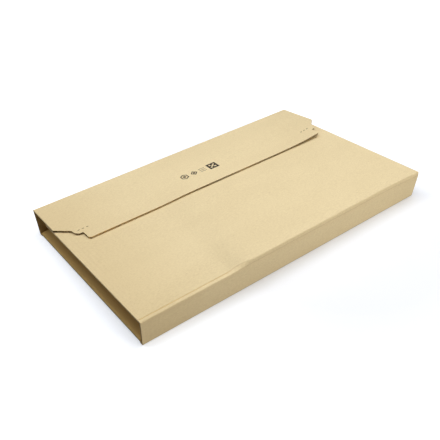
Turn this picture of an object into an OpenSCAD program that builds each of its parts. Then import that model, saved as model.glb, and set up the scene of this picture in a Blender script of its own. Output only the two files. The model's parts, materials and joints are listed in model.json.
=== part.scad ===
// Corrugated wrap-around mailer: one folded sheet of single-wall board, open at both ends,
// with a closing flap that carries a tear strip and a self-seal strip.
// X runs along the pack, Y from the front wall to the back wall, Z up, all in millimetres.

/* [Pack] */
// Length of the pack along its folds
length = 520; // [380:5:720]
// Width of the base between its two long folds
base_w = 308; // [230:2:420]
// Height of the front wall up to its lower crease
front_h = 41.8; // [30:0.2:70]
// Height of the top of the closing flap at the back fold
back_h = 43.8; // [32:0.2:72]
// How far the front wall leans out at the top
front_lean = 3.5; // [0:0.5:8]
// How far the back wall leans out at the top
back_lean = 6.5; // [0:0.5:10]
// How much further the front wall leans out at its right end
right_lean = 3; // [0:0.5:6]
// Length of the right end over which it gains that lean
right_lean_run = 70; // [30:5:120]

/* [Board] */
// Thickness of the single-wall board
board = 2.8; // [2:0.1:4]
// Thickness of one liner of the board
liner = 0.35; // [0.2:0.05:0.5]
// Thickness of the fluted middle ply
medium = 0.25; // [0.15:0.05:0.4]
// Distance from one flute to the next
flute_pitch = 6.5; // [5:0.5:9]
// How deep the flutes stand open at a cut edge
flute_open = 2.5; // [1:0.25:4]
// Inside radius of a pressed fold
fold_in = 0.6; // [0.3:0.1:1.5]
// Outside radius of a pressed fold
fold_out = 1.6; // [1:0.1:3.4]

/* [Twin crease] */
// Distance between the two parallel creases of the front top edge
crease_gap = 6.5; // [5.5:0.5:9]
// Distance from the left end to where the fold leaves the lower crease
cross_x = 138; // [60:2:200]
// Length over which the fold crosses over to the upper crease
cross_run = 44; // [20:2:120]
// How much longer the cross-over grows towards the panel's free edge
cross_spread = 58; // [0:2:120]
// How far the cross-over drifts to the right towards that edge
cross_drift = 17; // [0:1:40]
// Slope of the strip between the creases where the fold is at the lower one
strip_flat_angle = 2; // [1:1:10]
// Slope of that strip where the fold is at the upper one
strip_steep_angle = 88; // [60:1:88]
// Half the width of a crease that is pressed but not folded
crease_half = 1.2; // [0.6:0.1:2]
// Depth of a crease that is pressed but not folded
crease_dent = 0.45; // [0.2:0.05:0.8]

/* [Front panel] */
// Gap between the panel's free edge and the back fold
panel_gap = 43; // [20:1:70]
// Height of the panel's free edge
panel_back_h = 40.2; // [30:0.2:60]

/* [End flaps] */
// Length of each end flap from its fold to its free edge
end_flap_len = 85; // [40:1:150]
// Slot between an end flap and the long folds beside it
slot = 6; // [5:0.5:12]
// How far the left end flap springs up
left_rise_angle = 5; // [1:0.5:8]
// How far the right end flap springs up
right_rise_angle = 4; // [1:0.5:8]
// Corner taken off each end flap
end_flap_corner = 14; // [5:1:30]

/* [Closing flap] */
// Distance from the fold to where each end is cut back
cut_start = 72; // [50:1:80]
// Length of the slanted cut at the left end along the pack
cut_run = 21; // [12:1:30]
// How much of that cut and tab outline is trimmed off at the right end
right_trim = 7; // [0:0.5:10]
// Distance from the fold to the tear strip
tear_start = 91; // [86:0.5:94]
// Width of the tear strip
tear_w = 14; // [10:0.5:18]
// Width of the sealing strip between the tear strip and the free edge
seal_w = 18.5; // [12:0.5:24]
// Length of the rounded tab at each end of the tear strip
tab_len = 12; // [8:0.5:16]
// Squareness of that tab's corner, where 2 is an ellipse
tab_squareness = 2.6; // [2:0.1:4]
// How far each side of the sealing strip slants
side_run = 0.6; // [0.6:0.1:3]
// Corner radius of the sealing strip
seal_corner = 4; // [2:0.5:8]
// Gap between the flap with its closed seal and the panel that it lies on
rest_gap = 0.25; // [0.2:0.05:0.6]
// Slope that the sprung right corner gains
corner_curl_angle = 4.2; // [0:0.1:6]
// Share of the length over which that corner springs up
curl_share = 0.23; // [0.15:0.01:0.4]
// Radius of the fold's outside along the back edge
root_r = 1.6; // [1:0.1:2.4]
// Gap between the flap's underside and the back wall at the fold
fold_gap = 0.25; // [0.15:0.05:0.4]

/* [Tear strip and seal] */
// Length of one perforation cut beside the tear strip
perf_len = 3.5; // [2:0.5:4]
// Width of a perforation cut
perf_w = 1.1; // [0.4:0.1:1.4]
// Distance from one perforation cut to the next
perf_pitch = 7; // [5:0.5:9]
// Distance from the tear strip's edge to the row of cuts
perf_in = 5; // [2:0.5:7]
// Bare board left on each side of the tear tape
tape_margin = 2; // [1:0.25:3]
// Thickness of the tear tape
tape_t = 0.12; // [0.08:0.01:0.2]
// Bare board left on each side of the adhesive strip
glue_margin = 4; // [3:0.25:5]
// Thickness of the adhesive strip
glue_t = 0.15; // [0.1:0.01:0.2]
// How far the release liner stands past the adhesive on each side
release_margin = 1.5; // [0.5:0.25:2.5]
// Thickness of the release liner
release_t = 0.1; // [0.06:0.01:0.15]

/* [Hidden] */
kraft = [0.87, 0.78, 0.61];
tape_colour = [0.80, 0.30, 0.16];
glue_colour = [0.93, 0.90, 0.80];
release_colour = [0.95, 0.95, 0.93];
bend_steps = 4;
panel_rows = 5;
cross_steps = 8;
cross_tail = cross_spread + cross_drift;
flap_steps = 22;
perf_count = 3;
hinge_y = base_w + back_lean;
hinge_z = back_h - board;
origin_y = (hinge_y - front_lean - right_lean) / 2;
lip_r = board + fold_in / 2;
strip_x = cut_run + tab_len + side_run;
tear_end = tear_start + tear_w;
flap_reach = tear_end + seal_w;

// Eases from 0 to 1 with no corner at either end
function ease(u) = let (c = min(max(u, 0), 1)) c * c * (3 - 2 * c);
function unit(v) = v / norm(v);
// Normal of a path's direction that points into the pack
function inward(d) = [-d[1], d[0]];
function heading(path, i) = unit(path[i + 1] - path[i]);
function turn(path, i) = acos(min(heading(path, i - 1) * heading(path, i), 1));
// Path moved into the pack by a distance, with mitred corners
function moved(path, by) = [for (i = [0 : len(path) - 1])
    let (a = inward(heading(path, max(i - 1, 0))),
         b = inward(heading(path, min(i, len(path) - 2))))
    path[i] + by * (a + b) / (1 + a * b)];
// Path whose two ends are pulled in along it
function shortened(path, by) = [for (i = [0 : len(path) - 1])
    i == 0 ? path[0] + by * heading(path, 0) :
    i == len(path) - 1 ? path[i] - by * heading(path, i - 1) : path[i]];
// Points round a bend, with the dent that an unfolded crease leaves
function bend(path, i, half, dent) = [for (k = [0 : bend_steps])
    let (u = k / bend_steps,
         from = path[i] - half * heading(path, i - 1),
         to = path[i] + half * heading(path, i))
    (1 - u) * (1 - u) * from + 2 * u * (1 - u) * path[i] + u * u * to
        + dent * sin(180 * u) * unit(inward(heading(path, i - 1)) + inward(heading(path, i)))];
// Path with its corners rounded, apart from a number of plain points at its start
function bends(path, plain, radius, least, dent) = [
    for (i = [0 : plain]) path[i],
    for (i = [plain + 1 : len(path) - 2])
        each bend(path, i, max(least, radius * tan(turn(path, i) / 2)),
                  dent * max(0, 1 - turn(path, i) / 40)),
    path[len(path) - 1]];
function back_to_front(points) = [for (i = [len(points) - 1 : -1 : 0]) points[i]];
// Closed section of a board that follows a path along its outer face
function board_section(path, plain, thick, out, dent) = concat(
    bends(path, plain, out, crease_half, dent),
    back_to_front(bends(moved(path, thick), plain, fold_in, fold_in / 2, 0)));
// Section of the hollow between the liners, short of the board's own ends
function flute_section(path, plain) =
    board_section(moved(shortened(path, 2 * liner), liner), plain,
                  board - 2 * liner, fold_out - liner, 0);
function at_x(points, x) = [for (p = points) [x - length / 2, p[0] - origin_y, p[1]]];

// Skin over a row of sections that all have the same even number of points
module loft(sections) {
    n = len(sections[0]);
    last = len(sections) - 1;
    sides = [for (i = [0 : last - 1], j = [0 : n - 1])
        let (a = i * n + j, b = i * n + (j + 1) % n)
        each [[a, a + n, b], [b, a + n, b + n]]];
    caps = [for (j = [0 : n / 2 - 2]) each [
        [j, j + 1, n - 1 - j],
        [j + 1, n - 2 - j, n - 1 - j],
        [last * n + j, last * n + n - 1 - j, last * n + j + 1],
        [last * n + j + 1, last * n + n - 1 - j, last * n + n - 2 - j]]];
    polyhedron(points = [for (s = sections) each s], faces = concat(sides, caps));
}

// Slope of the strip between the twin creases, as the panel feels it at a share of its depth
function strip_slope(x, v) = strip_flat_angle + (strip_steep_angle - strip_flat_angle)
    * ease((x - cross_x - cross_drift * v) / (cross_run + cross_spread * v));
function lower_crease(x) =
    [-front_lean - right_lean * ease((x - length + right_lean_run) / right_lean_run), front_h];
function upper_crease(x, v) =
    lower_crease(x) + crease_gap * [cos(strip_slope(x, v)), sin(strip_slope(x, v))];
panel_edge = [hinge_y - panel_gap, panel_back_h];
// Point on the panel's top face, v = 0 at the upper crease and v = 1 at the free edge
function on_panel(x, v) = upper_crease(x, v) * (1 - v) + panel_edge * v;
// Outer face of the front half, from the panel's free edge round to the base
function front_path(x) = concat(
    [for (k = [panel_rows : -1 : 0]) on_panel(x, k / panel_rows)],
    [lower_crease(x), [0, 0], [slot, 0]]);
function back_path() = [[base_w - slot, 0], [base_w, 0], [hinge_y, back_h]];

// Front panel, twin crease and front wall, with the flutes open along both cut ends
module front_half() {
    stops = concat([0],
        [for (i = [0 : cross_steps]) cross_x + cross_run * i / cross_steps],
        [for (i = [1 : cross_steps]) cross_x + cross_run + cross_tail * i / cross_steps],
        [for (i = [0 : bend_steps]) length - right_lean_run * (1 - i / bend_steps)]);
    plain = panel_rows - 1;
    left = flute_section(front_path(0), plain);
    right = flute_section(front_path(length), plain);
    loft(concat(
        [at_x(left, flute_open), at_x(left, 0)],
        [for (x = stops)
            at_x(board_section(front_path(x), plain, board, fold_out, crease_dent), x)],
        [at_x(right, length), at_x(right, length - flute_open)]));
}

// Extrudes a section in the YZ plane along the pack
module along_pack(from, to) {
    translate([from - length / 2, -origin_y, 0])
        rotate([90, 0, 90])
            linear_extrude(height = to - from)
                children();
}

// Back wall, cut level just under the closing flap
module back_wall() {
    difference() {
        along_pack(0, length) polygon(board_section(back_path(), 0, board, fold_out, 0));
        along_pack(-1, flute_open) polygon(flute_section(back_path(), 0));
        along_pack(length - flute_open, length + 1) polygon(flute_section(back_path(), 0));
        translate([-length, base_w / 2 - origin_y, hinge_z - fold_gap])
            cube([2 * length, base_w, 2 * board]);
    }
}

// Flat panel of the base, which runs in under both long folds
module base_panel() {
    translate([lip_r - length / 2, slot / 2 - origin_y, 0])
        cube([length - 2 * lip_r, base_w - slot, board]);
}

// Section from the base's end round its lip to the end flap's free edge
function lip_arc(radius, rise) = [for (k = [0 : 2 * bend_steps])
    let (a = 270 - (180 - rise) * k / (2 * bend_steps))
    [lip_r + radius * cos(a), lip_r + radius * sin(a)]];
function lip_outline(rise) =
    let (outer = lip_arc(lip_r, rise), inner = lip_arc(lip_r - board, rise),
         run = end_flap_len * [cos(rise), sin(rise)])
    concat([[lip_r + slot, 0]], outer,
           [outer[2 * bend_steps] + run, inner[2 * bend_steps] + run],
           back_to_front(inner), [[lip_r + slot, board]]);

// End flap, folded in over the base, with its free corners cut off
module end_flap(rise) {
    difference() {
        translate([-length / 2, base_w - slot - origin_y, 0])
            rotate([90, 0, 0])
                linear_extrude(height = base_w - 2 * slot)
                    polygon(lip_outline(rise));
        for (side = [-1, 1])
            end_flap_corner_cut(side);
    }
}

module end_flap_corner_cut(side) {
    tip = [lip_r + end_flap_len - length / 2, base_w / 2 - origin_y + side * (base_w / 2 - slot)];
    past = side * board;
    translate([0, 0, 1.5 * board])
        linear_extrude(height = front_h / 2)
            polygon([tip + [-end_flap_corner, past], tip + [board, past],
                     tip + [board, -side * end_flap_corner]]);
}

module wrap() {
    color(kraft) {
        difference() {
            front_half();
            panel_flutes();
        }
        base_panel();
        end_flap(left_rise_angle);
        mirror([1, 0, 0])
            end_flap(right_rise_angle);
        back_wall();
    }
}

// Depth of the tab at a share of its length from its inner end, as a share of its width
function tab_side(u) = pow(1 - pow(u, tab_squareness), 1 / tab_squareness);
// Distance from the fold to the flap's free edge, at a distance from the nearer end
function reach(s) =
    s < cut_run ? cut_start + (tear_start - cut_start) * s / cut_run :
    s < strip_x - side_run ?
        tear_start + tear_w * tab_side((strip_x - side_run - s) / tab_len) :
    s < strip_x ?
        tear_end + (flap_reach - seal_corner - tear_end) * (s - strip_x + side_run) / side_run :
    s < strip_x + seal_corner ?
        flap_reach - seal_corner
            + sqrt(pow(seal_corner, 2) - pow(strip_x + seal_corner - s, 2)) :
    flap_reach;
function reach_at(x) = x < length / 2 ? reach(x) : reach(length - x + right_trim);
// Height of the flap's underside where it lies on the panel
function flap_rest(x) =
    on_panel(x, (hinge_y - flap_reach) / panel_edge[0])[1] + rest_gap + glue_t + release_t;
// Upward slope of the flap, which springs up towards its right corner
function flap_slope(x) = atan((flap_rest(x) - hinge_z) / flap_reach)
    + corner_curl_angle * pow(max(0, x / length - 1 + curl_share) / curl_share, 2.2);
// Places a point that is d from the fold and h above the flap's underside
function on_flap(x, d, h) =
    let (a = flap_slope(x))
    [x - length / 2, hinge_y - origin_y - d * cos(a) + h * sin(a), hinge_z + d * sin(a) + h * cos(a)];
// Section of the flap from the rounded fold to its free edge
function flap_points(x) = concat(
    [for (k = [0 : bend_steps])
        let (a = 90 * k / bend_steps)
        on_flap(x, root_r * (1 - sin(90 - a)), board - root_r + root_r * sin(a))],
    [on_flap(x, reach_at(x), board), on_flap(x, reach_at(x), 0)],
    [for (k = [bend_steps : -1 : 0])
        on_flap(x, root_r * k / bend_steps, 0)]);
// Section of a thin band on the flap's underside
function band_points(x, from, to, above, below) = [
    on_flap(x, from, above), on_flap(x, to, above), on_flap(x, to, below), on_flap(x, from, below)];
// Section of the hollow between the flap's liners at a cut end
function hollow_points(end, x) = [
    for (p = [[2 * liner + root_r, board - liner], [reach_at(end) - 2 * liner, board - liner],
              [reach_at(end) - 2 * liner, liner], [2 * liner + root_r, liner]])
        on_flap(end, p[0], p[1]) + [x - end, 0, 0]];

// Distances from an end at which the flap's outline turns
end_stops = concat([0, cut_run / 2],
    [for (k = [0 : 6]) strip_x - side_run - tab_len * cos(15 * k)],
    [for (k = [0 : 4]) strip_x + seal_corner * (1 - cos(22.5 * k))]);
mid_from = strip_x + seal_corner;
mid_run = length + right_trim - 2 * mid_from;
flap_stops = concat(end_stops,
    [for (k = [1 : flap_steps - 1]) mid_from + mid_run * k / flap_steps],
    [for (s = back_to_front(end_stops)) if (s > right_trim) length - s + right_trim], [length]);
function stops_between(from, to) = concat([from], [for (x = flap_stops) if (x > from && x < to) x], [to]);

// Hollow of one flute that stands open at a cut edge, wide at one liner and narrow at the other
module flute_mouth(wide_up, depth) {
    narrow = flute_pitch / 9;
    wide = flute_pitch / 2 - narrow - 1.5 * medium;
    top = wide_up ? wide : narrow;
    foot = wide_up ? narrow : wide;
    rotate([90, 0, 0])
        linear_extrude(height = depth + 1)
            polygon([[-foot, liner], [foot, liner], [top, board - liner], [-top, board - liner]]);
}

flute_count = floor(2 * length / flute_pitch);
function flute_x(i) = i * flute_pitch / 2;

// Open flutes along the cut edges of the closing flap
module flap_flutes() {
    for (i = [2 : flute_count - 2]) {
        x = flute_x(i);
        edge = [for (u = [-1, 0, 1]) reach_at(x + u * flute_pitch / 4)];
        if (max(edge) - min(edge) < 2 * flute_pitch)
            translate(on_flap(x, 0, 0))
                rotate([-flap_slope(x), 0, 0])
                    translate([0, flute_open - min(edge), 0])
                        flute_mouth(i % 2 == 0, max(edge) - min(edge) + flute_open);
    }
}

// Open flutes along the panel's free edge, which the closing flap covers
module panel_flutes() {
    for (i = [2 : flute_count - 2]) {
        x = flute_x(i);
        run = unit(panel_edge - on_panel(x, 1 - 1 / panel_rows));
        start = panel_edge - flute_open * run + board * inward(-run);
        translate([x - length / 2, start[0] - origin_y, start[1]])
            rotate([atan2(run[1], run[0]), 0, 0])
                mirror([0, 1, 0])
                    flute_mouth(i % 2 == 0, flute_open);
    }
}

// Cuts that start the tear strip, beside the tab at one end. The right row starts one cut
// further in, because that end is trimmed.
module perforations(end) {
    for (k = [end : perf_count - 1 + end]) {
        s = strip_x - side_run - tab_len / 4 + perf_pitch * k;
        x = end == 0 ? s : length + right_trim - s;
        translate(on_flap(x, tear_start + perf_in, 0))
            rotate([-flap_slope(x), 0, 0])
                translate([-perf_len / 2, -perf_w / 2, -1])
                    cube([perf_len, perf_w, board + 2]);
    }
}

module closing_flap() {
    color(kraft)
        difference() {
            loft([for (x = flap_stops) flap_points(x)]);
            for (end = [0, length])
                loft([for (x = end == 0 ? [-1, flute_open] : [length - flute_open, length + 1])
                    hollow_points(end, x)]);
            flap_flutes();
            for (end = [0, 1])
                perforations(end);
        }
}

// Band between two distances from the fold, with its ends as far in from both strip ends
module band(inset, from, to, above, below) {
    loft([for (x = stops_between(inset, length + right_trim - inset))
        band_points(x, from, to, above, below)]);
}

module tear_tape() {
    color(tape_colour)
        band(strip_x - side_run - tab_len / 2,
             tear_start + perf_in + tape_margin, tear_end - tape_margin, 0, -tape_t);
}

module adhesive_strip() {
    color(glue_colour)
        band(strip_x + seal_corner, tear_end + glue_margin, flap_reach - glue_margin, 0, -glue_t);
}

module release_liner() {
    edge = glue_margin - release_margin;
    color(release_colour)
        band(strip_x + seal_corner - release_margin, tear_end + edge, flap_reach - edge,
             -glue_t, -glue_t - release_t);
}

wrap();
closing_flap();
tear_tape();
adhesive_strip();
release_liner();
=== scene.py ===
# %% [markdown]
# A wrap-around mailer, folded from one sheet of corrugated board. The solids of the board come
# packed and stay fixed, so this lesson gives them their paper, their ink and their light. The
# first cell loads them and measures the box round them.

# %% Load the imported solids
import bpy
import json
import math
from mathutils import Matrix, Vector


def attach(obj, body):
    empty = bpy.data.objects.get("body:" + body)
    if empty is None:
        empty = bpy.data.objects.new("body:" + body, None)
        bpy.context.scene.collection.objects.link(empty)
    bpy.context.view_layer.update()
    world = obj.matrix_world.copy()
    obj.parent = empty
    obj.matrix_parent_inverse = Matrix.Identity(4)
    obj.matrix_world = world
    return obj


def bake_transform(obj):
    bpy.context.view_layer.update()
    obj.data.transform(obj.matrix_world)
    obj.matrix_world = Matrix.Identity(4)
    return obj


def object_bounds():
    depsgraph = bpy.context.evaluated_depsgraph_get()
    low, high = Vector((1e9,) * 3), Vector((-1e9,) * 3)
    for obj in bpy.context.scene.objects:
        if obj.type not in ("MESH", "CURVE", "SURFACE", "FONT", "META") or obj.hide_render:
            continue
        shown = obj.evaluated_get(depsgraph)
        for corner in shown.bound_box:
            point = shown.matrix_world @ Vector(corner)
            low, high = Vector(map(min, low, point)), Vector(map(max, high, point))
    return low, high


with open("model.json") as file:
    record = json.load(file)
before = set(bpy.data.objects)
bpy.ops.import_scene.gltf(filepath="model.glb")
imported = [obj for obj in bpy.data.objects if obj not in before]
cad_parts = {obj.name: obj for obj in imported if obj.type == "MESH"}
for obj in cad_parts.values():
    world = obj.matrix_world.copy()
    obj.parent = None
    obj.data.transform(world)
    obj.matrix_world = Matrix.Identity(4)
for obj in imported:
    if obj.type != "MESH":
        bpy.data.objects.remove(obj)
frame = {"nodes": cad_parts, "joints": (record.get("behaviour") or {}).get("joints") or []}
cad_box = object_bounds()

MM = 0.001
nodes = frame["nodes"]
print("solids:", sorted(nodes))
print("size in mm:", [round(c / MM, 1) for c in cad_box[1] - cad_box[0]])

# %% [markdown]
# The camera comes first, because a likeness starts with the angle. The photograph looks down
# on one corner with a slight tilt of the horizon. The place, the turn and the focal length were
# worked out from the corners of the box, so they are set here as plain values.

# %% Camera
CAMERA_PLACE = Vector((-0.49855, -0.67074, 0.58647))
CAMERA_YAW = math.radians(35.50)
CAMERA_PITCH = math.radians(35.51)
CAMERA_ROLL = math.radians(-3.18)
FOCAL_PIXELS = 632.0
FRAME_PIXELS = 440
SENSOR_MM = 36

level_right = Vector((math.cos(CAMERA_YAW), -math.sin(CAMERA_YAW), 0))
ahead = Vector((math.sin(CAMERA_YAW) * math.cos(CAMERA_PITCH),
                math.cos(CAMERA_YAW) * math.cos(CAMERA_PITCH), -math.sin(CAMERA_PITCH)))
level_up = level_right.cross(ahead)
right = math.cos(CAMERA_ROLL) * level_right + math.sin(CAMERA_ROLL) * level_up
up = right.cross(ahead)
turn = Matrix((right, up, -ahead)).transposed().to_4x4()
camera_data = bpy.data.cameras.new("camera")
camera_data.sensor_width = SENSOR_MM
camera_data.lens = FOCAL_PIXELS / FRAME_PIXELS * SENSOR_MM
camera = bpy.data.objects.new("camera", camera_data)
camera.matrix_world = Matrix.Translation(CAMERA_PLACE) @ turn
bpy.context.scene.collection.objects.link(camera)
bpy.context.scene.camera = camera
print("lens in mm:", round(camera_data.lens, 2))

# %% [markdown]
# The photograph is a studio shot in broad, soft light. One softbox hangs over the pack. One stands
# behind it on the left, which throws the short shadow of the flap's edge forward, and one on the
# right evens that out. A warmer one stands low in front, and keeps the front wall a little darker
# than the top. Round area lamps as wide as a softbox give that without hard shadows. Each lamp
# was first rendered alone, and the powers were chosen so that their sum gives the tones of the
# top, the wall and the floor.

# %% Softboxes
TOP_LIGHT = (1, 0.985, 0.98)
FRONT_LIGHT = (1, 0.94, 0.865)


def softbox(name, place, width, watts, colour):
    """A round area lamp at a place, turned towards the middle of the pack's base."""
    data = bpy.data.lights.new(name, "AREA")
    data.shape = "DISK"
    data.size = width
    data.energy = watts
    data.color = colour
    lamp = bpy.data.objects.new(name, data)
    lamp.location = place
    lamp.rotation_euler = (-Vector(place)).to_track_quat("-Z", "Y").to_euler()
    bpy.context.scene.collection.objects.link(lamp)
    print("softbox", name, watts, "W")


softbox("overhead", (0.03, -0.10, 1.2), width=1.0, watts=7.8, colour=TOP_LIGHT)
softbox("back_left", (-0.6, 0.5, 1.2), width=1.0, watts=6.3, colour=TOP_LIGHT)
softbox("right", (0.75, -0.10, 1.0), width=1.0, watts=3.8, colour=TOP_LIGHT)
softbox("low_front", (0.5, -1.45, 0.35), width=0.8, watts=11.4, colour=FRONT_LIGHT)

# %% [markdown]
# A material is a tree of nodes, and small helpers keep the trees readable. The first adds a
# node, sets its fixed values and links its inputs in one line. The others name what this lesson
# needs most: sums, a soft step, a blend of two colours, a noise, and a point's place and a
# face's direction in the piece's own axes, which stay the same when the piece moves.

# %% Nodes, sums and blends
def add(tree, kind, inputs=(), **settings):
    """A node of a kind, with settings, and inputs that are values or other nodes' sockets."""
    node = tree.nodes.new(kind)
    for name, value in settings.items():
        setattr(node, name, value)
    for key, value in dict(inputs).items():
        socket = node.inputs[key]
        if isinstance(value, bpy.types.NodeSocket):
            tree.links.new(value, socket)
        else:
            socket.default_value = value
    return node


def maths(tree, operation, *values):
    """The result of a sum on numbers."""
    return add(tree, "ShaderNodeMath", dict(enumerate(values)), operation=operation).outputs[0]


def vector_maths(tree, operation, *values):
    """The result of a sum on vectors, which is a number for a length, distance or dot product."""
    node = add(tree, "ShaderNodeVectorMath", dict(enumerate(values)), operation=operation)
    is_number = operation in ("LENGTH", "DOT_PRODUCT", "DISTANCE")
    return node.outputs["Value" if is_number else "Vector"]


def smooth(tree, value, start, end, low=0.0, high=1.0):
    """Smooth step of a value, from low at start to high at end."""
    node = add(tree, "ShaderNodeMapRange", {"Value": value, "From Min": start, "From Max": end,
                                            "To Min": low, "To Max": high})
    node.interpolation_type = "SMOOTHSTEP"
    return node.outputs["Result"]


def mixed(tree, amount, first, second):
    """A colour between two, by an amount from 0 to 1."""
    # The Mix node has sockets for numbers and vectors too: 6, 7 and output 2 are for colours.
    node = add(tree, "ShaderNodeMix", {0: amount, 6: first, 7: second}, data_type="RGBA")
    return node.outputs[2]


print("node helpers:", [helper.__name__ for helper in (add, maths, vector_maths, smooth, mixed)])

# %% Noise, places and directions
def noise(tree, place, per_metre, detail, rough=0.5):
    """A cloudy value from 0 to 1, with a number of bumps per metre and finer ones on them."""
    return add(tree, "ShaderNodeTexNoise", {"Vector": place, "Scale": per_metre,
                                            "Detail": detail, "Roughness": rough}).outputs["Fac"]


def own_place(tree):
    """A point's place on the piece, in metres."""
    return add(tree, "ShaderNodeTexCoord").outputs["Object"]


def own_direction(tree):
    """The direction that a face looks in, in the piece's own axes."""
    looks = add(tree, "ShaderNodeNewGeometry").outputs["True Normal"]
    return add(tree, "ShaderNodeVectorTransform", {"Vector": looks}, vector_type="NORMAL",
               convert_from="WORLD", convert_to="OBJECT").outputs[0]


def axes_of(tree, vector):
    """The X, Y and Z of a vector."""
    return add(tree, "ShaderNodeSeparateXYZ", {0: vector}).outputs


print("surface helpers:",
      [helper.__name__ for helper in (noise, own_place, own_direction, axes_of)])

# %% [markdown]
# Several papers share the same effects, so each effect is a node group that is built once. A
# group only hands on masks and heights that change over the surface, and the shader itself stays
# in the material, where every finish also gets its relief.

# %% Groups and paints
def group(name, inputs, outputs):
    """An empty node group with numbers or vectors going in and numbers coming out."""
    made = bpy.data.node_groups.new(name, "ShaderNodeTree")
    for label, value in inputs.items():
        kind = "NodeSocketVector" if isinstance(value, tuple) else "NodeSocketFloat"
        socket = made.interface.new_socket(label, in_out="INPUT", socket_type=kind)
        socket.default_value = value
    for label in outputs:
        made.interface.new_socket(label, in_out="OUTPUT", socket_type="NodeSocketFloat")
    start = made.nodes.new("NodeGroupInput")
    end = made.nodes.new("NodeGroupOutput")
    print("group:", name)
    return made, start, end


def use(tree, made, **inputs):
    """A node group placed in a tree. A space in an input's label is written as _ here."""
    node = tree.nodes.new("ShaderNodeGroup")
    node.node_tree = made
    for label, value in inputs.items():
        node.inputs[label.replace("_", " ")].default_value = value
    return node.outputs


def new_paint(name):
    """A new material, with its tree and its shader."""
    paint = bpy.data.materials.new(name)
    paint.use_nodes = True
    print("paint:", name)
    return paint, paint.node_tree, paint.node_tree.nodes["Principled BSDF"]


def raise_by(tree, shader, height):
    """A relief on the surface, by a height in mm."""
    bump = add(tree, "ShaderNodeBump", {"Height": height, "Distance": MM, "Strength": 1.0})
    tree.links.new(bump.outputs[0], shader.inputs["Normal"])


def paint_over(piece, paint):
    """A piece gets one paint in place of those that it has."""
    piece.data.materials.clear()
    piece.data.materials.append(paint)


print("paint helpers:",
      [helper.__name__ for helper in (group, use, new_paint, raise_by, paint_over)])

# %% [markdown]
# The photograph's ground is almost white, but a white room would flood the board with light. So
# the room is bright only for a ray that comes from the camera, also by way of a reflection or
# through glass. Any other ray meets a room that adds next to nothing.

# %% Room light
ROOM_LIGHT = 0.01
ROOM_COLOUR = (1, 1, 1, 1)


def seen(tree):
    """1 for a ray from the camera, a reflection or glass, and 0 for any other."""
    rays = add(tree, "ShaderNodeLightPath").outputs
    mirrored = maths(tree, "MAXIMUM", rays["Is Camera Ray"], rays["Is Glossy Ray"])
    return maths(tree, "MAXIMUM", mirrored, rays["Is Transmission Ray"])


world = bpy.data.worlds.new("studio")
bpy.context.scene.world = world
world.use_nodes = True
room = world.node_tree
backdrop = room.nodes["Background"]
room.links.new(maths(room, "MAXIMUM", seen(room), ROOM_LIGHT), backdrop.inputs["Strength"])
backdrop.inputs["Color"].default_value = ROOM_COLOUR
bpy.context.scene.view_settings.view_transform = "Standard"
print("room light:", ROOM_LIGHT)

# %% [markdown]
# The table is a plain pale sweep, and the same rays see it as bright white paper with a glow
# that grows away from the pack. The glow is weakest round the pack, so it paints a pool of shade
# on the table there. All other rays meet a mid grey, so the table throws little light back at the
# board and the soft contact shadow stays visible.

# %% Table
TABLE_WIDTH = 30
TABLE_SEEN = (0.82, 0.85, 0.91, 1)
TABLE_BOUNCE = (0.36, 0.36, 0.37, 1)
GLOW_COLOUR = (0.92, 0.96, 1.0, 1)
# Weaker glow near the pack: painted shade round it on the table.
GLOW_NEAR, GLOW_FAR = 0.18, 1.05
GLOW_MIDDLE = (0.08, -0.12, 0.0)
GLOW_STRETCH = (1.3, 1.0, 1.0)
GLOW_FROM, GLOW_TO = 0.20, 0.95

bpy.ops.object.select_all(action="DESELECT")
bpy.ops.mesh.primitive_plane_add(size=TABLE_WIDTH)
table = bpy.context.object
table.name = "table"
table_paint = bpy.data.materials.new("studio_table")
table_paint.use_nodes = True
tree = table_paint.node_tree
tree.nodes.clear()
output = add(tree, "ShaderNodeOutputMaterial")
direct = seen(tree)
matt = add(tree, "ShaderNodeBsdfDiffuse",
           {"Color": mixed(tree, direct, TABLE_BOUNCE, TABLE_SEEN)})
away = vector_maths(tree, "SUBTRACT", own_place(tree), GLOW_MIDDLE)
away = vector_maths(tree, "LENGTH", vector_maths(tree, "MULTIPLY", away, GLOW_STRETCH))
glow = add(tree, "ShaderNodeMapRange", {"Value": away, "From Min": GLOW_FROM, "From Max": GLOW_TO,
                                        "To Min": GLOW_NEAR, "To Max": GLOW_FAR})
strength = maths(tree, "MULTIPLY", glow.outputs["Result"], direct)
light = add(tree, "ShaderNodeEmission", {"Color": GLOW_COLOUR, "Strength": strength})
both = add(tree, "ShaderNodeAddShader", {0: matt.outputs[0], 1: light.outputs[0]})
tree.links.new(both.outputs[0], output.inputs["Surface"])
paint_over(table, table_paint)
print("glow beside the pack:", GLOW_NEAR)

# %% [markdown]
# Kraft liner is a felt of wood fibres that settled mostly along the paper machine, which on
# this board is across the flutes, so along X. Seen close it has a fine mottle drawn out in that
# direction, soft clouds a few centimetres wide, and a few darker fibre specks. Three noises at
# those scales make it, all on Object coordinates, so that the paper looks the same size on
# every panel and stays put when the flap swings.

# %% Group: fibres of the liner
FIBRES_DRAWN = (0.45, 1.0, 1.0)
SPECKS_DRAWN = (0.22, 1.0, 1.0)
SPECKS_PER_METRE = 900.0
GRAIN_RANGE, CLOUD_RANGE, SPECK_RANGE = (0.25, 0.75), (0.3, 0.7), (0.66, 0.74)

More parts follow.
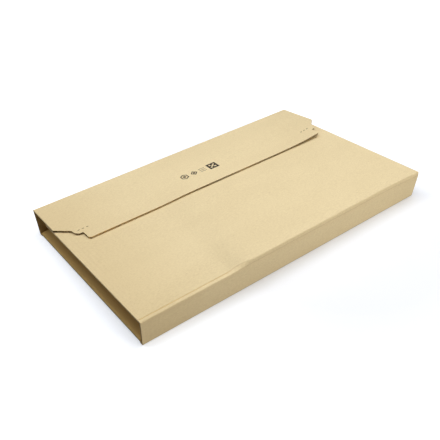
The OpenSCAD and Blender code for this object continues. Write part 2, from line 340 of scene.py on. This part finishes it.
liner_fibres, start, end = group("liner_fibres",
                                 {"Grain per metre": 700.0, "Clouds per metre": 16.0},
                                 ["Grain", "Clouds", "Specks"])
place = own_place(liner_fibres)
drawn = vector_maths(liner_fibres, "MULTIPLY", place, FIBRES_DRAWN)
grain = noise(liner_fibres, drawn, start.outputs["Grain per metre"], detail=3.0, rough=0.62)
clouds = noise(liner_fibres, drawn, start.outputs["Clouds per metre"], detail=4.0, rough=0.55)
thin = vector_maths(liner_fibres, "MULTIPLY", place, SPECKS_DRAWN)
specks = noise(liner_fibres, thin, SPECKS_PER_METRE, detail=1.0)
for label, value, reach in (("Grain", grain, GRAIN_RANGE), ("Clouds", clouds, CLOUD_RANGE),
                            ("Specks", specks, SPECK_RANGE)):
    liner_fibres.links.new(smooth(liner_fibres, value, *reach), end.inputs[label])

# %% [markdown]
# The flutes under the liner print through as a faint washboard, one ridge every flute pitch.
# On the real board it can only be felt, so it is a sine along X, a few hundredths of a
# millimetre high, that comes and goes with a slow noise.

# %% Group: washboard
FLUTE_PITCH = 6.5 * MM
DRIFT_PER_METRE = 22.0

washboard, start, end = group("washboard", {"Pitch": FLUTE_PITCH}, ["Ripple"])
place = own_place(washboard)
turns = maths(washboard, "DIVIDE", axes_of(washboard, place)["X"], start.outputs["Pitch"])
wave = maths(washboard, "SINE", maths(washboard, "MULTIPLY", turns, 2 * math.pi))
drift = noise(washboard, place, DRIFT_PER_METRE, detail=1.0)
washboard.links.new(maths(washboard, "MULTIPLY", wave, drift), end.inputs["Ripple"])

# %% [markdown]
# A crease crushes the board along a line, and the paper there turns a little darker and
# rougher. This group gives a mask round one straight line along X. A fold at another height or
# depth is the same group with another place.

# %% Group: a straight fold
FOLD_WIDTH = 3 * MM
WEAR_PER_METRE = 160.0
WITHOUT_X = (0.0, 1.0, 1.0)

straight_fold, start, end = group("straight_fold",
                                  {"Line": (0.0, 0.0, 0.0), "Width": FOLD_WIDTH}, ["Mask"])
place = own_place(straight_fold)
across = vector_maths(straight_fold, "MULTIPLY", place, WITHOUT_X)
away = vector_maths(straight_fold, "DISTANCE", across, start.outputs["Line"])
worn = noise(straight_fold, place, WEAR_PER_METRE, detail=3.0)
band = smooth(straight_fold, away, start.outputs["Width"], 0.0)
straight_fold.links.new(maths(straight_fold, "MULTIPLY", band, worn), end.inputs["Mask"])

# %% [markdown]
# The front shoulder has two creases, a few millimetres apart, so that the pack can be folded at
# two heights. At the left the strip between them lies flat with the top, and past the
# cross-over it stands up with the wall. The group follows that turn with the same values as the
# board, so its two masks stay on the creases along the whole length.

# %% Group: the twin crease
SHOULDER_Y, SHOULDER_Z = -157.5 * MM, 41.8 * MM
SHOULDER_GAP = 6.5 * MM
CROSSING = (-122 * MM, -78 * MM)
STRIP_FLAT, STRIP_STEEP = math.radians(2), math.radians(88)
RIGHT_LEAN = 3 * MM
RIGHT_LEAN_FROM = (190 * MM, 260 * MM)
CREASE_WIDTH = 1.6 * MM

twin_crease, start, end = group("twin_crease", {"Width": CREASE_WIDTH}, ["Lower", "Upper"])
place = own_place(twin_crease)
along = axes_of(twin_crease, place)["X"]
angle = smooth(twin_crease, along, *CROSSING, STRIP_FLAT, STRIP_STEEP)
lower_y = smooth(twin_crease, along, *RIGHT_LEAN_FROM, SHOULDER_Y, SHOULDER_Y - RIGHT_LEAN)
upper_y = maths(twin_crease, "MULTIPLY_ADD", maths(twin_crease, "COSINE", angle),
                SHOULDER_GAP, lower_y)
upper_z = maths(twin_crease, "MULTIPLY_ADD", maths(twin_crease, "SINE", angle),
                SHOULDER_GAP, SHOULDER_Z)
across = vector_maths(twin_crease, "MULTIPLY", place, WITHOUT_X)
for label, y, z in (("Lower", lower_y, SHOULDER_Z), ("Upper", upper_y, upper_z)):
    line = add(twin_crease, "ShaderNodeCombineXYZ", {"Y": y, "Z": z}).outputs[0]
    away = vector_maths(twin_crease, "DISTANCE", across, line)
    band = smooth(twin_crease, away, start.outputs["Width"], 0.0)
    twin_crease.links.new(band, end.inputs[label])

# %% [markdown]
# Where the die cut the board, the raw edge shows the two liners and, between them, the browner
# fluting paper, with a little fuzz. The mask comes from the direction that a face looks in: on a
# cut end it looks along X, and on the flap a cut edge looks sideways instead of up or down. The
# direction is turned into the piece's own axes first, so it holds when the flap is open.

# %% Group: cut edges
ENDS_FROM, SIDES_UNTIL = 0.8, 0.5

cut_edges, start, end = group("cut_edges", {"Softness": 0.15}, ["Ends", "Sides"])
looks = axes_of(cut_edges, own_direction(cut_edges))
for label, axis, edge, way in (("Ends", "X", ENDS_FROM, "ADD"),
                               ("Sides", "Z", SIDES_UNTIL, "SUBTRACT")):
    amount = maths(cut_edges, "ABSOLUTE", looks[axis])
    full = maths(cut_edges, way, edge, start.outputs["Softness"])
    cut_edges.links.new(smooth(cut_edges, amount, edge, full), end.inputs[label])

# %% [markdown]
# The die presses hardest on the liner that it meets first, and rolls that liner a little way
# down the cut. So a cut edge of the flap is pale in its upper part and dark below, where the
# flutes are open and where painted shade stands for the gap under the flap. That needs the
# height above the flap's underside, also where the flap slopes and where its right corner springs
# up, so the group repeats the flap's slope along X.

# %% Group: height above the flap's underside
HINGE_Y, HINGE_Z = frame["joints"][0]["pos_m"][1:]
FLAP_TILT = (math.radians(0.11), math.radians(0.97))
TILT_CHANGES = (-110 * MM, -25 * MM)
CORNER_CURL, CURL_POWER = math.radians(4.2), 2.2
CURL_FROM, CURL_RUN = 140.4 * MM, 119.6 * MM

flap_height, start, end = group("flap_height", {}, ["Height"])
place = axes_of(flap_height, own_place(flap_height))
along = maths(flap_height, "SUBTRACT", place["X"], CURL_FROM)
along = maths(flap_height, "MAXIMUM", maths(flap_height, "DIVIDE", along, CURL_RUN), 0.0)
curl = maths(flap_height, "POWER", along, CURL_POWER)
slope = smooth(flap_height, place["X"], *TILT_CHANGES, *FLAP_TILT)
tilt = maths(flap_height, "MULTIPLY_ADD", curl, CORNER_CURL, slope)
rise = maths(flap_height, "MULTIPLY", maths(flap_height, "SUBTRACT", place["Z"], HINGE_Z),
             maths(flap_height, "COSINE", tilt))
fall = maths(flap_height, "MULTIPLY", maths(flap_height, "SUBTRACT", HINGE_Y, place["Y"]),
             maths(flap_height, "SINE", tilt))
flap_height.links.new(maths(flap_height, "SUBTRACT", rise, fall), end.inputs["Height"])

# %% [markdown]
# The faces inside the pack get a browner, darker tone. Part of it is the liner, which on the
# inside of such packs is often a browner, unbleached paper. Part of it is painted shade of the
# dark inside, where light only reaches the liner from other brown paper. A face belongs to the
# inside when it looks towards the middle of the pack, so the mask is the product of its
# direction and its place.

# %% Group: the inner liner
MIDDLE_Z = 21 * MM
FACING_FROM, FACING_TO = 3 * MM, 9 * MM

inner_liner, start, end = group("inner_liner", {"Middle height": MIDDLE_Z}, ["Mask"])
looks = own_direction(inner_liner)
place = own_place(inner_liner)
middle = add(inner_liner, "ShaderNodeCombineXYZ", {"Z": start.outputs["Middle height"]})
inwards = vector_maths(inner_liner, "SUBTRACT", middle.outputs[0], place)
inwards = vector_maths(inner_liner, "MULTIPLY", inwards, WITHOUT_X)
facing = vector_maths(inner_liner, "DOT_PRODUCT", inwards, looks)
inner_liner.links.new(smooth(inner_liner, facing, FACING_FROM, FACING_TO), end.inputs["Mask"])

# %% [markdown]
# Now the board itself. One function writes the kraft paper for every piece of board, because
# they are all the same sheet. It lays thin layers over the mottled liner, one after the other:
# painted shade at the left end, the inner tone (a browner liner with painted shade on it), the
# specks, the folds and the cut edges, which on the flap also hold a painted gap shadow. The
# tones lie close together, because the likeness is in the fine mottle and not in strong stains.

# %% Tones of the kraft paper
KRAFT_PALE = (0.868, 0.738, 0.462, 1)
KRAFT_DEEP = (0.752, 0.620, 0.373, 1)
# Inner tone: a browner liner, darkened further as painted shade of the dark inside.
KRAFT_INNER_AND_SHADE = (0.680, 0.452, 0.153, 1)
# Painted shade for the left end of the liner.
KRAFT_LEFT_SHADE = (0.60, 0.44, 0.20, 1)
KRAFT_SPECK = (0.52, 0.39, 0.21, 1)
KRAFT_FOLD = (0.55, 0.40, 0.20, 1)
KRAFT_CUT = (0.145, 0.090, 0.006, 1)
print("tone of the liner:", KRAFT_DEEP[:3], "to", KRAFT_PALE[:3])

# %% The kraft paper
# The left end of the liner is painted darker: painted shade of the light falling off there.
LEFT_SHADE_PART = (-110 * MM, -262 * MM)
GRAIN_SHARE, LEFT_SHADE_SHARE, INNER_AND_SHADE_SHARE, SPECK_SHARE = 0.75, 0.25, 0.9, 0.25
ROUGH_DEEP, ROUGH_PALE = 0.92, 0.78
GRAIN_RELIEF, RIPPLE_RELIEF, FOLD_RELIEF = 0.018, 0.03, -0.05
KRAFT_GLOSS = 0.15


def facing_in(tree):
    """The parts of a board that look into the pack."""
    return use(tree, inner_liner)["Mask"]


def kraft(name, folds, edges, inside=facing_in, cut=KRAFT_CUT):
    """Kraft paper. Functions of the tree give its masks for folds, cut edges and inside."""
    paint, tree, shader = new_paint(name)
    fibres = use(tree, liner_fibres)
    fold = folds(tree)
    mottle = maths(tree, "MULTIPLY", fibres["Grain"], GRAIN_SHARE)
    mottle = maths(tree, "MULTIPLY_ADD", fibres["Clouds"], 1 - GRAIN_SHARE, mottle)
    along = axes_of(tree, own_place(tree))["X"]
    colour = mixed(tree, mottle, KRAFT_DEEP, KRAFT_PALE)
    for mask, tone in ((smooth(tree, along, *LEFT_SHADE_PART, high=LEFT_SHADE_SHARE), KRAFT_LEFT_SHADE),
                       (maths(tree, "MULTIPLY", inside(tree), INNER_AND_SHADE_SHARE), KRAFT_INNER_AND_SHADE),
                       (maths(tree, "MULTIPLY", fibres["Specks"], SPECK_SHARE), KRAFT_SPECK),
                       (fold, KRAFT_FOLD),
                       (edges(tree), cut)):
        colour = mixed(tree, mask, colour, tone)
    tree.links.new(colour, shader.inputs["Base Color"])
    rough = smooth(tree, fibres["Grain"], 0.0, 1.0, ROUGH_DEEP, ROUGH_PALE)
    tree.links.new(rough, shader.inputs["Roughness"])
    height = maths(tree, "MULTIPLY", use(tree, washboard)["Ripple"], RIPPLE_RELIEF)
    height = maths(tree, "MULTIPLY_ADD", fibres["Grain"], GRAIN_RELIEF, height)
    raise_by(tree, shader, maths(tree, "MULTIPLY_ADD", fold, FOLD_RELIEF, height))
    shader.inputs["Specular IOR Level"].default_value = KRAFT_GLOSS
    return paint


print("relief in mm of grain, flutes and folds:", GRAIN_RELIEF, RIPPLE_RELIEF, FOLD_RELIEF)

# %% [markdown]
# Each solid gets its own folds, at the heights and depths where the board is creased. The cut
# ends of the wrap run along the flutes, so they show a liner's edge and stay pale.

# %% The wrap's folds and ends
BASE_FOLD_Y = 154 * MM
FLAP_FOLD = (0, HINGE_Y, 42 * MM)
BASE_FOLD_SHARE, SHOULDER_SHARE, FLAP_FOLD_SHARE, END_SHARE = 0.5, 0.4, 0.4, 0.35


def wrap_folds(tree):
    """The folds of the wrap: two under it, and the twin crease on the front shoulder."""
    front, back = (use(tree, straight_fold, Line=(0, y, 0))["Mask"]
                   for y in (-BASE_FOLD_Y, BASE_FOLD_Y))
    pair = use(tree, twin_crease)
    shoulder = maths(tree, "MAXIMUM", pair["Lower"], pair["Upper"])
    return maths(tree, "MAXIMUM",
                 maths(tree, "MULTIPLY", maths(tree, "MAXIMUM", front, back), BASE_FOLD_SHARE),
                 maths(tree, "MULTIPLY", shoulder, SHOULDER_SHARE))


def flap_folds(tree):
    """The fold that the flap swings on."""
    root = use(tree, straight_fold, Line=FLAP_FOLD)["Mask"]
    return maths(tree, "MULTIPLY", root, FLAP_FOLD_SHARE)


def wrap_edges(tree):
    """The cut ends of the wrap."""
    return maths(tree, "MULTIPLY", use(tree, cut_edges)["Ends"], END_SHARE)


paint_over(nodes["wrap"], kraft("kraft_wrap", wrap_folds, wrap_edges))

# %% [markdown]
# The flap's free edge crosses the flutes, so it shows them open, as a dark line under the pale
# rolled liner. The line is also painted shade, for the shadow in the gap under the flap, which
# widens where the flap lifts. So how dark it is changes along the edge, and near the middle the
# whole thickness is dark. A colour ramp suits that, because it holds a level at each of a few
# places and blends between them, where a noise would put the dark parts anywhere.

# %% How dark the cut edge is painted, for open flutes and gap shadow
PLACES_AND_LEVELS = ((-228, 0.85), (-212, 0.55), (-180, 0.62), (-150, 0.38), (-90, 0.48),
                     (-10, 1.0), (30, 0.95), (70, 0.45), (92, 0.95))


def flute_and_gap_shade(tree, along):
    """How dark the cut edge is painted, for open flutes and gap shadow, along the flap."""
    first, last = PLACES_AND_LEVELS[0][0], PLACES_AND_LEVELS[-1][0]
    share = add(tree, "ShaderNodeMapRange",
                {"Value": along, "From Min": first * MM, "From Max": last * MM})
    ramp = add(tree, "ShaderNodeValToRGB", {"Fac": share.outputs["Result"]})
    stops = ramp.color_ramp.elements
    while len(stops) < len(PLACES_AND_LEVELS):
        stops.new(0.5)
    for stop, (place, level) in zip(stops, PLACES_AND_LEVELS):
        stop.position = (place - first) / (last - first)
        stop.color = (level, level, level, 1)
    return ramp.outputs["Color"]


print("places with a level of their own:", len(PLACES_AND_LEVELS))

# %% The flap's cut outline
# Nearly black: open flutes, and painted shade of the gap under the flap.
KRAFT_CUT_AND_GAP_SHADE = (0.075, 0.042, 0.003, 1)
CLEAR_OF_FOLD = (158.5 * MM, 157.5 * MM)
DARK_BELOW = (1.3 * MM, 0.5 * MM)
DARK_LEFT_END = (-226 * MM, -228 * MM)
DARK_MIDDLE = (-226 * MM, -60 * MM)
BEHIND_FREE_EDGE = (44 * MM, 46 * MM)


def flap_edges(tree):
    """The flap's cut edge: open flutes and painted gap shadow, dark below and in places higher."""
    place = axes_of(tree, own_place(tree))
    clear = smooth(tree, place["Y"], *CLEAR_OF_FOLD)
    side = maths(tree, "MULTIPLY", use(tree, cut_edges)["Sides"], clear)
    below = smooth(tree, use(tree, flap_height)["Height"], *DARK_BELOW)
    whole = maths(tree, "MAXIMUM", smooth(tree, place["X"], *DARK_LEFT_END),
                  smooth(tree, place["X"], *DARK_MIDDLE))
    behind = smooth(tree, place["Y"], *BEHIND_FREE_EDGE)
    cover = maths(tree, "MAXIMUM", maths(tree, "MAXIMUM", below, whole), behind)
    depth = maths(tree, "MAXIMUM", flute_and_gap_shade(tree, place["X"]), behind)
    return maths(tree, "MULTIPLY", maths(tree, "MULTIPLY", side, cover), depth)


paint_over(nodes["closing_flap"], kraft("kraft_flap", flap_folds, flap_edges, cut=KRAFT_CUT_AND_GAP_SHADE))

# %% [markdown]
# Under the flap lie three thin bands. The tear tape is a glossy oriented film that is drawn out
# along its length, so it gets fine lines along X. The glue strip is a pale, slightly rippled
# coat. The release paper over it is smooth, white and silicone-coated, with a faint sheen. One
# function paints all three, because they differ only in their tones and in how fine the lines are.

# %% Tear tape, glue and release paper
LINES_DRAWN = (0.02, 1.0, 1.0)
LINE_RANGE = (0.3, 0.7)
ROUGH_SPREAD = 0.08


def thin_band(name, pale, deep, rough, per_metre, relief):
    """A band with fine lines along X, between two tones, and with a relief in mm."""
    paint, tree, shader = new_paint(name)
    drawn = vector_maths(tree, "MULTIPLY", own_place(tree), LINES_DRAWN)
    lines = noise(tree, drawn, per_metre, detail=2.0)
    tone = mixed(tree, smooth(tree, lines, *LINE_RANGE), deep, pale)
    tree.links.new(tone, shader.inputs["Base Color"])
    sheen = smooth(tree, lines, *LINE_RANGE, rough + ROUGH_SPREAD, rough - ROUGH_SPREAD)
    tree.links.new(sheen, shader.inputs["Roughness"])
    raise_by(tree, shader, maths(tree, "MULTIPLY", lines, relief))
    return paint


paint_over(nodes["tear_tape"],
           thin_band("tear_film", pale=(0.82, 0.36, 0.20, 1), deep=(0.70, 0.25, 0.13, 1),
                     rough=0.32, per_metre=2600, relief=0.02))
paint_over(nodes["adhesive_strip"],
           thin_band("seal_glue", pale=(0.93, 0.90, 0.80, 1), deep=(0.88, 0.83, 0.70, 1),
                     rough=0.25, per_metre=700, relief=0.05))
paint_over(nodes["release_liner"],
           thin_band("release_paper", pale=(0.95, 0.95, 0.93, 1), deep=(0.91, 0.91, 0.89, 1),
                     rough=0.38, per_metre=1400, relief=0.01))

# %% [markdown]
# A board printer leaves a few small control marks on the sheet, which show that the ink lies
# even and in place. Here they sit in a row on the closing flap: an outlined hexagon with a dot,
# a small diamond, three hairlines and a solid patch with square windows. An ink film could be
# part of the material, but as thin geometry it keeps crisp edges close up. Each mark is drawn
# flat with a primitive, inset and delete, then dropped onto the flap with Shrinkwrap and given
# the thickness of a film of ink with Solidify.

# %% Selecting by place
def fresh():
    """Nothing selected, in object mode."""
    if bpy.context.object and bpy.context.object.mode != "OBJECT":
        bpy.ops.object.mode_set(mode="OBJECT")
    bpy.ops.object.select_all(action="DESELECT")


def pick(piece, kind, test):
    """Leave a piece in edit mode with only the corners or the faces selected that pass a test."""
    bpy.ops.object.mode_set(mode="EDIT")
    bpy.ops.mesh.select_mode(type=kind)
    bpy.ops.mesh.select_all(action="DESELECT")
    bpy.ops.object.mode_set(mode="OBJECT")
    for part in piece.data.polygons if kind == "FACE" else piece.data.vertices:
        part.select = test(part)
    bpy.ops.object.mode_set(mode="EDIT")


print("selecting helpers:", [helper.__name__ for helper in (fresh, pick)])

# %% Drawing an outline or a dot
MARK_HEIGHT = 60 * MM
DOT_CORNERS = 20


def above_flap(centre):
    """A place over the flap, from an x and a y in mm."""
    return (centre[0] * MM, centre[1] * MM, MARK_HEIGHT)


def outline(centre, corners, radius, band):
    """A polygon's outline, in mm: filled, inset by its band's width, its middle removed."""
    fresh()
    bpy.ops.mesh.primitive_circle_add(vertices=corners, radius=radius * MM, fill_type="NGON",
                                      location=above_flap(centre))
    bpy.ops.object.mode_set(mode="EDIT")
    bpy.ops.mesh.select_all(action="SELECT")
    bpy.ops.mesh.inset(thickness=band * MM)
    bpy.ops.mesh.delete(type="FACE")
    bpy.ops.object.mode_set(mode="OBJECT")
    return bpy.context.object


def dot(centre, radius):
    """A round dot, in mm."""
    fresh()
    bpy.ops.mesh.primitive_circle_add(vertices=DOT_CORNERS, radius=radius * MM,
                                      fill_type="TRIFAN", location=above_flap(centre))
    return bpy.context.object


print("marks are drawn at a height in mm of", MARK_HEIGHT / MM)

# %% Drawing a bar or a patch with windows
def bar(centre, width, height, cells=(1, 1), windows=()):
    """A flat bar, in mm, made of cells, of which those in the list of windows are left open."""
    def is_window(face):
        column = int((face.center.x / (width * MM) + 0.5) * cells[0])
        row = int((face.center.y / (height * MM) + 0.5) * cells[1])
        return (column, row) in windows

    fresh()
    bpy.ops.mesh.primitive_grid_add(x_subdivisions=cells[0], y_subdivisions=cells[1], size=1,
                                    location=above_flap(centre))
    piece = bpy.context.object
    piece.scale = (width * MM, height * MM, 1)
    bpy.ops.object.transform_apply(location=False, rotation=False, scale=True)
    if windows:
        pick(piece, "FACE", is_window)
        bpy.ops.mesh.delete(type="FACE")
        bpy.ops.object.mode_set(mode="OBJECT")
    return piece


print("drawing helpers:", [helper.__name__ for helper in (outline, dot, bar)])

# %% [markdown]
# Printing ink soaks into the liner. It is nearly black where it lies full, and thinner and
# browner on the fibres that stand higher. The marks could be one flat black, but then they look
# stuck on. Here the same noise as the liner's grain, at a finer scale, drives the tone, the
# roughness and a slight relief together, so that all three agree from fibre to fibre.

# %% Ink that sits in the paper
INK_FULL, INK_THIN = (0.022, 0.017, 0.012, 1), (0.13, 0.098, 0.055, 1)
INK_GRAIN_PER_METRE = 1500.0
THIN_RANGE = (0.60, 1.0)
INK_ROUGH = (0.55, 0.8)
INK_RELIEF = 0.01
INK_GLOSS = 0.12

printing_ink, tree, shader = new_paint("printing_ink")
paper_grain = use(tree, liner_fibres, Grain_per_metre=INK_GRAIN_PER_METRE)["Grain"]
cover = smooth(tree, paper_grain, *THIN_RANGE)
tree.links.new(mixed(tree, cover, INK_FULL, INK_THIN), shader.inputs["Base Color"])
tree.links.new(smooth(tree, cover, 0.0, 1.0, *INK_ROUGH), shader.inputs["Roughness"])
raise_by(tree, shader, maths(tree, "MULTIPLY", paper_grain, INK_RELIEF))
shader.inputs["Specular IOR Level"].default_value = INK_GLOSS

# %% Laying a mark on the flap
INK_LIFT, INK_FILM = 0.02 * MM, 0.03 * MM


def lay_on_flap(name, parts):
    """Join the flat parts of a mark, drop them onto the flap and give them their film."""
    fresh()
    for part in parts:
        part.select_set(True)
    bpy.context.view_layer.objects.active = parts[0]
    if len(parts) > 1:
        bpy.ops.object.join()
    mark = bpy.context.object
    mark.name = name
    bpy.ops.object.transform_apply(location=True, rotation=True, scale=True)
    drop = mark.modifiers.new("drop", "SHRINKWRAP")
    drop.target = nodes["closing_flap"]
    drop.wrap_method = "PROJECT"
    drop.use_project_z = True
    drop.use_negative_direction = True
    drop.use_positive_direction = False
    drop.offset = INK_LIFT
    bpy.ops.object.modifier_apply(modifier="drop")
    film = mark.modifiers.new("film", "SOLIDIFY")
    film.thickness = INK_FILM
    film.offset = 1
    bpy.ops.object.modifier_apply(modifier="film")
    paint_over(mark, printing_ink)
    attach(mark, "flap")
    print(name, "lies at", [round(c / MM, 2) for c in mark.data.vertices[0].co])


print("film of ink in mm:", INK_FILM / MM)

# %% The row of marks
HEXAGON, DIAMOND, HAIRLINES, PATCH = (-28.5, 81.2), (-9.6, 81.2), (7.0, 80.6), (27.6, 80.2)
HAIRLINE_STEPS = (-4.5, 0, 4.5)
PATCH_WINDOWS = ((1, 1), (3, 1), (2, 2), (1, 3), (3, 3))

lay_on_flap("mark_hexagon", [outline(HEXAGON, corners=6, radius=7.6, band=1.8),
                             dot(HEXAGON, radius=2.8)])
lay_on_flap("mark_diamond", [outline(DIAMOND, corners=4, radius=6.4, band=1.6),
                             dot(DIAMOND, radius=2.2)])
lay_on_flap("mark_hairlines", [bar((HAIRLINES[0], HAIRLINES[1] + step), width=12, height=0.9)
                               for step in HAIRLINE_STEPS])
lay_on_flap("mark_patch", [bar(PATCH, width=18, height=16.5, cells=(5, 5),
                               windows=PATCH_WINDOWS)])

# %% [markdown]
# On the real pack the two liners run on without a break from the back wall into the closing
# flap, and the paper bends between them. The two solids stop on either side of that fold, so two
# thin strips of liner bridge it, one outside and one inside. Each is drawn as an edge that is
# extruded step by step round the fold. The outer strip has the paper of the board. On the inner
# one a mask by direction would change round the fold, so that one has the inner tone all over: a
# browner liner with painted shade on it.

# %% A strip of liner across the fold
FOLD_INSET = 0.3 * MM
STRIP_LENGTH = cad_box[1].x - cad_box[0].x - 2 * FOLD_INSET
STRIP_CELLS = 40
FIRST_EDGE_WIDTH = 0.05 * MM
SMOOTH_BELOW = math.radians(50)


def liner_strip(name, paint, steps, thick):
    """A strip along X whose section is a row of (y, z) steps in mm, drawn round the fold."""
    fresh()
    bpy.ops.mesh.primitive_grid_add(x_subdivisions=STRIP_CELLS, y_subdivisions=1, size=1)
    strip = bpy.context.object
    strip.name = name
    strip.scale = (STRIP_LENGTH, FIRST_EDGE_WIDTH, 1)
    strip.location = (0, steps[0][0] * MM, steps[0][1] * MM)
    bpy.ops.object.transform_apply(location=True, rotation=True, scale=True)
    # A grid of one row without the corners of its near side is a single line of edges.
    pick(strip, "VERT", lambda corner: corner.co.y < steps[0][0] * MM)
    bpy.ops.mesh.delete(type="VERT")
    bpy.ops.mesh.select_all(action="SELECT")
    for (y0, z0), (y1, z1) in zip(steps, steps[1:]):
        bpy.ops.mesh.extrude_region_move(
            TRANSFORM_OT_translate={"value": (0, (y1 - y0) * MM, (z1 - z0) * MM)})
    bpy.ops.mesh.select_all(action="SELECT")
    bpy.ops.mesh.normals_make_consistent(inside=False)
    bpy.ops.object.mode_set(mode="OBJECT")
    sheet = strip.modifiers.new("sheet", "SOLIDIFY")
    sheet.thickness = thick * MM
    sheet.offset = 0
    bpy.ops.object.modifier_apply(modifier="sheet")
    bpy.ops.object.shade_smooth_by_angle(angle=SMOOTH_BELOW)
    paint_over(strip, paint)
    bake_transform(strip)
    print(name, len(strip.data.polygons), "faces")


print("length of a strip in mm:", round(STRIP_LENGTH / MM, 2))

# %% Outer and inner strip
def everywhere(tree):
    """A mask that covers the whole piece."""
    return 1.0


outer_steps = [(159.42, 36.4), (159.90, 39.4), (160.06, 40.3), (160.20, 40.62), (160.38, 40.84),
               (160.48, 41.05), (160.485, 41.3), (160.46, 41.6), (160.40, 41.9)]
inner_steps = [(157.3, 40.81), (158.6, 40.82), (159.6, 40.82), (160.15, 40.825),
               (160.28, 40.845), (160.32, 40.875), (160.28, 40.905), (160.15, 40.925),
               (159.6, 40.93), (158.6, 40.93), (157.6, 40.93)]

fold_outside = kraft("kraft_fold_outside", flap_folds, wrap_edges)
# The inner strip has the inner tone all over: browner liner and painted shade.
fold_inside = kraft("kraft_fold_inside", flap_folds, wrap_edges, inside=everywhere)
liner_strip("fold_outer_liner", fold_outside, outer_steps, thick=0.10)
liner_strip("fold_inner_liner", fold_inside, inner_steps, thick=0.05)
